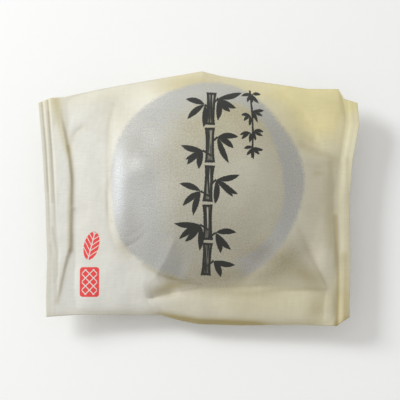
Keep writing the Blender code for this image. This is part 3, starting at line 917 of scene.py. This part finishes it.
cane_group, given, result = new_group(
    "brush_cane",
    (("Plan", "Vector"), ("Centre", "Vector"), ("Along", "Vector"), ("Half Length", "Float"),
     ("Half Width", "Float")),
    (("Depth", "Float"),),
)
offset = vector_calc(cane_group, "SUBTRACT", given["Plan"], given["Centre"])
along = calc(cane_group, "ABSOLUTE", vector_calc(cane_group, "DOT_PRODUCT", offset, given["Along"]))
across = vector_calc(cane_group, "LENGTH", vector_calc(cane_group, "CROSS_PRODUCT", offset, given["Along"]))
flare = calc(cane_group, "POWER", calc(cane_group, "DIVIDE", along, given["Half Length"]), 3.0)
widening = calc(cane_group, "MULTIPLY_ADD", flare, CANE_FLARE, CANE_WAIST)
half_width = calc(cane_group, "MULTIPLY", given["Half Width"], widening)
end_depth = calc(cane_group, "SUBTRACT", given["Half Length"], along)
side_depth = calc(cane_group, "SUBTRACT", half_width, across)
feed(cane_group, result["Depth"], calc(cane_group, "MINIMUM", end_depth, side_depth))


def place_cane(tree, plan, start, end, half_width):
    start, end = Vector(start), Vector(end)
    cane = add_node(tree, "ShaderNodeGroup", node_tree=cane_group)
    feed(tree, cane.inputs["Plan"], plan)
    cane.inputs["Centre"].default_value = (*((start + end) / 2), 0.0)
    cane.inputs["Along"].default_value = (*(end - start).normalized(), 0.0)
    cane.inputs["Half Length"].default_value = (end - start).length / 2
    cane.inputs["Half Width"].default_value = half_width
    return cane.outputs["Depth"]


def deepest(tree, depths):
    total = depths[0]
    for depth in depths[1:]:
        total = calc(tree, "MAXIMUM", total, depth)
    return total


print("strokes:", leaf_group.name, "and", cane_group.name)

# %% [markdown]
# ## The drawing in black ink
# In the middle stands bamboo, an old and common subject of ink painting: a cane of five joints with a
# gap at each knot, and at every knot two short twigs whose leaves hang like fingers. A slender shoot with
# smaller leaves stands beside it. The lists hold where each joint ends and where each spray of leaves
# hangs, and loops draw them. A seeded draw makes each leaf a little longer or shorter, turns it a little
# and picks the side to which it bends.

# %% Sprays of leaves and joints of cane
CANE_KNOTS = ((3.9, 32.6), (3.3, 21.8), (3.3, 10.6), (2.6, -0.9), (2.7, -12.2), (2.1, -22.8))
CANE_GAP = 0.40
CANE_HALF_WIDTH = 1.55
SHOOT_KNOTS = ((15.4, 33.0), (15.9, 27.0), (16.1, 20.4), (15.8, 12.4))
SHOOT_HALF_WIDTH, TWIG_HALF_WIDTH = 0.34, 0.36
TWIG_FOOT, TWIG_LEAN, TWIG_DROP = 3.2, 0.04, 1.6
# a spray: its foot, the angles of its first and last leaf, how many leaves, and their length
SPRAYS = (
    ((5.9, 30.4), (6, -88), 4, 7.4), ((1.8, 28.4), (-196, -104), 3, 7.0),
    ((5.6, 18.6), (-2, -70), 3, 7.6), ((1.2, 14.6), (-188, -96), 4, 7.0),
    ((5.2, 6.0), (4, -84), 4, 7.4), ((0.6, 2.6), (-192, -110), 3, 7.6),
    ((5.0, -9.6), (2, -80), 3, 7.6), ((0.4, -7.2), (-186, -92), 4, 7.0), ((4.4, -18.0), (-14, -64), 2, 6.0),
)
SMALL_SPRAYS = (
    ((16.0, 31.8), (-10, -170), 5, 3.6), ((16.5, 26.8), (0, -100), 4, 3.5),
    ((15.3, 25.2), (-180, -100), 3, 3.4), ((16.4, 20.6), (-5, -110), 4, 3.5),
    ((15.3, 20.0), (-175, -105), 3, 3.4), ((16.0, 15.6), (-15, -165), 5, 3.5),
)
BELLY, SMALL_BELLY, HOLLOW = 1.25, 0.72, 0.45
LEAST_LENGTH, LENGTH_SPREAD, TURN_SPREAD = 0.74, 0.40, 22.0


def draw_bamboo(tree, plan):
    draw = np.random.default_rng(7)
    canes, strokes = [], []
    for (ax, ay), (bx, by) in zip(CANE_KNOTS, CANE_KNOTS[1:]):
        canes.append(place_cane(tree, plan, (ax, ay - CANE_GAP), (bx, by + CANE_GAP), CANE_HALF_WIDTH))
    for start, end in zip(SHOOT_KNOTS, SHOOT_KNOTS[1:]):
        strokes.append(place_cane(tree, plan, start, end, SHOOT_HALF_WIDTH))
    for (fx, fy), _, _, _ in SPRAYS:
        knot = (TWIG_FOOT + TWIG_LEAN * fy, fy - TWIG_DROP)
        strokes.append(place_cane(tree, plan, knot, (fx, fy), TWIG_HALF_WIDTH))
    for sprays, belly in ((SPRAYS, BELLY), (SMALL_SPRAYS, SMALL_BELLY)):
        for foot, (first, last), count, length in sprays:
            for angle in np.linspace(first, last, count):
                stretch = LEAST_LENGTH + LENGTH_SPREAD * draw.random()
                way = math.radians(angle + TURN_SPREAD * (draw.random() - 0.5))
                leaf = (length * stretch, belly, belly * HOLLOW, draw.random() < 0.5)
                strokes.append(place_leaf(tree, plan, foot, way, *leaf))
    print("strokes:", len(canes), "cane joints and", len(strokes), "twigs and leaves")
    return deepest(tree, canes), deepest(tree, strokes)


# %% [markdown]
# ## Two red marks
# At the lower left stand two small marks in vermilion: a leaf in an oval, and a block with a plain
# diagonal lattice cut out of it. A ping-pong wave, which climbs and falls evenly, is a quick way to
# repeat a line: where the wave is below half a line's width, the paper is left bare.

# %% Red leaf in an oval
LEAF_PLACE = (-32.0, -13.6, 0.0)
LEAF_TURN = 14.0
LEAF_HALVES = (2.25, 4.3, 1.0)
LEAF_SIZE = 2.6
RIB = 0.16
VEIN_SLOPE, VEIN_STEP, VEIN = 1.1, 0.85, 0.17


def draw_red_leaf(tree, plan):
    turn = add_node(tree, "ShaderNodeVectorRotate", rotation_type="Z_AXIS")
    feed_all(tree, turn, ("Vector", plan), ("Center", LEAF_PLACE), ("Angle", math.radians(LEAF_TURN)))
    local = vector_calc(tree, "SUBTRACT", turn.outputs["Vector"], LEAF_PLACE)
    radius = vector_calc(tree, "LENGTH", vector_calc(tree, "DIVIDE", local, LEAF_HALVES))
    oval = calc(tree, "MULTIPLY_ADD", radius, -LEAF_SIZE, LEAF_SIZE)
    across, along = split(tree, local)
    side = calc(tree, "ABSOLUTE", across)
    climb = calc(tree, "MULTIPLY_ADD", side, VEIN_SLOPE, calc(tree, "MULTIPLY", along, -1.0))
    vein = calc(tree, "SUBTRACT", calc(tree, "PINGPONG", climb, VEIN_STEP), VEIN)
    return calc(tree, "MINIMUM", oval, calc(tree, "MINIMUM", calc(tree, "SUBTRACT", side, RIB), vein))


# %% Red block with a lattice
BLOCK_PLACE = (-32.5, -24.4, 0.0)
BLOCK_HALVES = (2.0, 3.5, 0.0)
BLOCK_ROUNDING, BLOCK_FRAME = 0.9, 0.62
LATTICE_STEP, LATTICE = 1.2, 0.19


def draw_red_block(tree, plan):
    place = vector_calc(tree, "SUBTRACT", plan, BLOCK_PLACE)
    beyond = vector_calc(tree, "SUBTRACT", vector_calc(tree, "ABSOLUTE", place), BLOCK_HALVES)
    beyond = vector_calc(tree, "MAXIMUM", beyond, (0.0, 0.0, 0.0))
    block = calc(tree, "SUBTRACT", BLOCK_ROUNDING, vector_calc(tree, "LENGTH", beyond))
    across = split(tree, place)
    rising, falling = (
        calc(tree, "PINGPONG", calc(tree, slant, *across), LATTICE_STEP) for slant in ("ADD", "SUBTRACT")
    )
    lattice = calc(tree, "SUBTRACT", calc(tree, "MINIMUM", rising, falling), LATTICE)
    frame_depth = calc(tree, "SUBTRACT", BLOCK_FRAME, block)
    return calc(tree, "MINIMUM", block, calc(tree, "MAXIMUM", frame_depth, lattice))


# %% [markdown]
# ## One recipe for both sides' paper
# Each side has its own material, but both start alike: the plan, the paper group with its pale and warm
# colours, and the stored values for warmth, painted shade and painted light. The paper's relief is a faint
# bump.

# %% Start of a paper material
PALE, WARM = (0.735, 0.729, 0.690), (0.730, 0.655, 0.360)
RELIEF_STRENGTH, RELIEF_HEIGHT = 0.35, 0.0002


def stored(tree, name):
    return add_node(tree, "ShaderNodeAttribute", attribute_name=name).outputs["Fac"]


def new_material(name):
    material = bpy.data.materials.new(name)
    material.use_nodes = True
    tree = material.node_tree
    plan = add_node(tree, "ShaderNodeUVMap", uv_map="sheet").outputs["UV"]
    paper = add_node(tree, "ShaderNodeGroup", node_tree=paper_group)
    feed_all(tree, paper, ("Plan", plan), ("Pale", (*PALE, 1.0)), ("Warm", (*WARM, 1.0)))
    for socket, attribute in (("Warmth", "warmth"), ("Painted Shade", "painted_shade"), ("Painted Light", "painted_light")):
        feed(tree, paper.inputs[socket], stored(tree, attribute))
    return material, tree, tree.nodes["Principled BSDF"], plan, paper.outputs


def add_relief(tree, shader, relief):
    bump = add_node(tree, "ShaderNodeBump")
    feed_all(tree, bump, ("Strength", RELIEF_STRENGTH), ("Distance", RELIEF_HEIGHT), ("Height", relief))
    feed(tree, shader.inputs["Normal"], bump.outputs["Normal"])


printed, tree, shader, plan, paper = new_material("printed_paper")
print("printed side:", len(tree.nodes), "nodes so far")

# %% [markdown]
# ## The crust that shows through
# Pressed paper touches the crust in specks, which show more where it is pressed harder; the same stored
# share also carries the painted light and shade on the bulge's slopes. Their colour is multiplied in and
# drifts slowly between two browns, because the crust isn't even.

# %% Pressed paper and crust
CRUST_TONES = ((0.575, 0.565, 0.495), (0.560, 0.525, 0.450))
CRUST_DRIFT = (0.35, 0.65)
SPECK_GAIN, SPECK_LEAST = 1.6, 0.20

creep = scaled_noise(tree, plan, EVEN, 0.30)
broad = scaled_noise(tree, plan, EVEN, 1.6, 4.0)
crust = scaled_noise(tree, plan, (0.6, 1.0, 1.0), 6.0, 4.0)
speckle = scaled_noise(tree, plan, EVEN, 0.50, 2.0, 0.8)

crust_tone = blend_colour(tree, soft_step(tree, crust, *CRUST_DRIFT), *CRUST_TONES)
specks = calc(tree, "MULTIPLY_ADD", speckle, SPECK_GAIN, SPECK_LEAST)
touch = calc(tree, "MULTIPLY", stored(tree, "crust_light_and_shade"), specks)
colour = blend_colour(tree, touch, paper["Colour"], crust_tone, "MULTIPLY")
print("with the crust:", len(tree.nodes), "nodes")

# %% [markdown]
# ## Silver ink
# The silver sits mostly on the raised threads, so its body is made of threads and specks, and noise
# roughens its edge. Its flakes lie every way, which gives two greys side by side; the painted shade darkens
# them, and the painted highlights lift them towards a cool white.

# %% Silver ring
FLAKE_TONES = ((0.350, 0.352, 0.345), (0.550, 0.552, 0.535))
SILVER_SHADE = (0.64, 0.61, 0.57)
SILVER_SHINE = (0.800, 0.830, 0.880)
FLAKE_DRIFT = (0.30, 0.70)
EDGE_SHIFT, EDGE_SOFTNESS, EDGE_BROAD, EDGE_SPECKS = 1.40, 0.80, 1.5, 1.3
BODY_LEAST, BODY_THREADS, BODY_SPECKS = -0.30, 0.60, 1.60
SHINE_LEAST, SHINE_SPECKS = -0.1, 2.0

ring_depth = calc(tree, "SUBTRACT", stored(tree, "silver_ring"), EDGE_SHIFT)
ring_depth = calc(tree, "MULTIPLY_ADD", broad, EDGE_BROAD, ring_depth)
ring_depth = calc(tree, "MULTIPLY_ADD", speckle, EDGE_SPECKS, ring_depth)
ring_mask = soft_step(tree, ring_depth, -EDGE_SOFTNESS, EDGE_SOFTNESS)
ring_body = calc(tree, "MULTIPLY_ADD", paper["Threads"], BODY_THREADS, BODY_LEAST)
ring_body = calc(tree, "MULTIPLY_ADD", speckle, BODY_SPECKS, ring_body)
silver = calc(tree, "MULTIPLY", ring_mask, ring_body, clamp=True)

# painted highlight: the silver is lifted towards a cool white where it faces the window
shine_specks = calc(tree, "MULTIPLY_ADD", speckle, SHINE_SPECKS, SHINE_LEAST)
shining = calc(tree, "MULTIPLY", stored(tree, "silver_painted_highlight"), shine_specks, clamp=True)
flakes = blend_colour(tree, soft_step(tree, creep, *FLAKE_DRIFT), *FLAKE_TONES)
# painted shade darkens the silver as it does the paper
shaded = blend_colour(tree, stored(tree, "painted_shade"), flakes, SILVER_SHADE, "MULTIPLY")
colour = blend_colour(tree, silver, colour, blend_colour(tree, shining, shaded, SILVER_SHINE))
print("with the silver:", len(tree.nodes), "nodes")

# %% [markdown]
# ## Red and black ink
# Both inks lie over the silver, and the same fine noise roughens their edges, because ink creeps along
# the fibres. The cane's ink breaks into streaks in the middle of each pull, as a flat brush leaves it.

# %% Red marks and black strokes
RED_INK, BLACK_INK = (0.780, 0.050, 0.048), (0.022, 0.023, 0.019)
RED_CREEP, RED_EDGE = 0.22, 0.07
BLACK_CREEP, BLACK_EDGE = 0.55, 0.06
STREAK_DRIFT = (0.36, 0.56)
CANE_RIM = (0.55, 1.05)

fibre = calc(tree, "SUBTRACT", creep, 0.5)
red_depth = calc(tree, "MAXIMUM", draw_red_leaf(tree, plan), draw_red_block(tree, plan))
red_depth = calc(tree, "MULTIPLY_ADD", fibre, RED_CREEP, red_depth)
colour = blend_colour(tree, soft_step(tree, red_depth, -RED_EDGE, RED_EDGE), colour, RED_INK)

streaks = scaled_noise(tree, plan, (1.0, 0.05, 1.0), 0.55)
bare = calc(tree, "SUBTRACT", soft_step(tree, streaks, *STREAK_DRIFT), 1.0)
cane_depth, leaf_depth = draw_bamboo(tree, plan)
rough_cane, rough_leaves = (
    soft_step(tree, calc(tree, "MULTIPLY_ADD", fibre, BLACK_CREEP, depth), -BLACK_EDGE, BLACK_EDGE)
    for depth in (cane_depth, leaf_depth)
)
# the cane's ink is whole at its rim and broken by the streaks further in
wet = calc(tree, "MULTIPLY_ADD", soft_step(tree, cane_depth, *CANE_RIM), bare, 1.0)
black = calc(tree, "MAXIMUM", calc(tree, "MULTIPLY", rough_cane, wet), rough_leaves)
colour = blend_colour(tree, black, colour, BLACK_INK)
print("with all inks:", len(tree.nodes), "nodes")

# %% [markdown]
# ## Sheen and relief of the printed side
# Silver ink is a little smoother than paper and has a faint sheen of metal, which also shows through the
# thin black ink over it. All of the print follows the paper's own relief.

# %% Finish the printed side
SILVER_SMOOTHNESS, SILVER_METAL = 0.12, 0.14

roughness = calc(tree, "MULTIPLY_ADD", silver, -SILVER_SMOOTHNESS, paper["Roughness"])
metal = calc(tree, "MULTIPLY", silver, SILVER_METAL)
feed_all(tree, shader, ("Base Color", colour), ("Roughness", roughness), ("Metallic", metal))
add_relief(tree, shader, paper["Relief"])
print("printed side:", len(tree.nodes), "nodes and", len(tree.links), "links")

# %% [markdown]
# ## The plain back
# The back of the pack carries no print, so its material is the plain paper and no more. The faces of
# the back sheet are told apart by the first point of each.

# %% Material of the plain back
plain, tree, shader, plan, paper = new_material("plain_paper")
feed_all(tree, shader, ("Base Color", paper["Colour"]), ("Roughness", paper["Roughness"]))
add_relief(tree, shader, paper["Relief"])

pack_mesh.materials.append(printed)
pack_mesh.materials.append(plain)
first_loops = np.empty(len(pack_mesh.polygons), dtype=np.int32)
pack_mesh.polygons.foreach_get("loop_start", first_loops)
face_is_back = ~on_front[loop_points[first_loops]]
pack_mesh.polygons.foreach_set("material_index", face_is_back.astype(np.int32))
print("back faces:", int(face_is_back.sum()))

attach(pack, "root")
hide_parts("wrapped_manju")

# %% [markdown]
# ## Floor, light and camera
# A pale floor and a pale sky give soft light from all round. One broad, cool light stands low on the far
# left, as a window would, so the bun throws a soft shadow over the near right margin. The camera looks
# down at 75 degrees through a long lens. The colours are shown as they are, without a film look.

# %% Floor
FLOOR_SIZE = 3.0
FLOOR_TONE, FLOOR_ROUGHNESS = (0.97, 0.97, 0.97, 1.0), 0.9

floor_mesh = bpy.data.meshes.new("floor")
bm = bmesh.new()
bmesh.ops.create_grid(bm, x_segments=1, y_segments=1, size=FLOOR_SIZE)
bm.to_mesh(floor_mesh)
bm.free()
floor = bpy.data.objects.new("floor", floor_mesh)
bpy.context.scene.collection.objects.link(floor)
floor_material = bpy.data.materials.new("pale_floor")
floor_material.use_nodes = True
floor_tree = floor_material.node_tree
floor_look = (("Base Color", FLOOR_TONE), ("Roughness", FLOOR_ROUGHNESS))
feed_all(floor_tree, floor_tree.nodes["Principled BSDF"], *floor_look)
floor_mesh.materials.append(floor_material)

# %% Sky and window light
SKY_TONE, SKY_STRENGTH = (1.0, 0.99, 0.965, 1.0), 0.62
KEY_BEARING, KEY_HEIGHT = 152.0, 31.0
KEY_DISTANCE, KEY_SIZE = 0.80, 0.28
KEY_POWER, KEY_TONE = 4.0, (0.96, 0.985, 1.0)
KEY_AIM = Vector((0.0, 0.0, 0.01))

world = bpy.data.worlds.new("pale_sky")
bpy.context.scene.world = world
world.use_nodes = True
sky_look = (("Color", SKY_TONE), ("Strength", SKY_STRENGTH))
feed_all(world.node_tree, world.node_tree.nodes["Background"], *sky_look)

light = bpy.data.lights.new("key", "AREA")
light.energy, light.size, light.color = KEY_POWER, KEY_SIZE, KEY_TONE
lamp = bpy.data.objects.new("key", light)
bearing, height = math.radians(KEY_BEARING), math.radians(KEY_HEIGHT)
way = Vector((math.cos(bearing) * math.cos(height), math.sin(bearing) * math.cos(height), math.sin(height)))
lamp.location = way * KEY_DISTANCE
lamp.rotation_euler = (KEY_AIM - lamp.location).to_track_quat("-Z", "Y").to_euler()
bpy.context.scene.collection.objects.link(lamp)
bpy.context.scene.view_settings.view_transform = "Standard"
print("window light at", [round(value, 3) for value in lamp.location])

# %% Camera
FRAME_WIDTH = 0.120
LENS = 200.0
AIM_RIGHT, AIM_BACK = 0.0004, 0.0087

camera_data = bpy.data.cameras.new("camera")
camera_data.lens = LENS
camera = bpy.data.objects.new("camera", camera_data)
back_way = Vector((0.0, -math.cos(VIEW), math.sin(VIEW)))
up_way = Vector((0.0, math.sin(VIEW), math.cos(VIEW)))
target = up_way * VIEW_DROP * MM + back_way * AIM_BACK + Vector((AIM_RIGHT, 0.0, 0.0))
camera.location = target + back_way * FRAME_WIDTH * LENS / camera_data.sensor_width
camera.rotation_euler = (-back_way).to_track_quat("-Z", "Y").to_euler()
bpy.context.scene.collection.objects.link(camera)
bpy.context.scene.camera = camera
print("camera at", [round(value, 3) for value in camera.location])
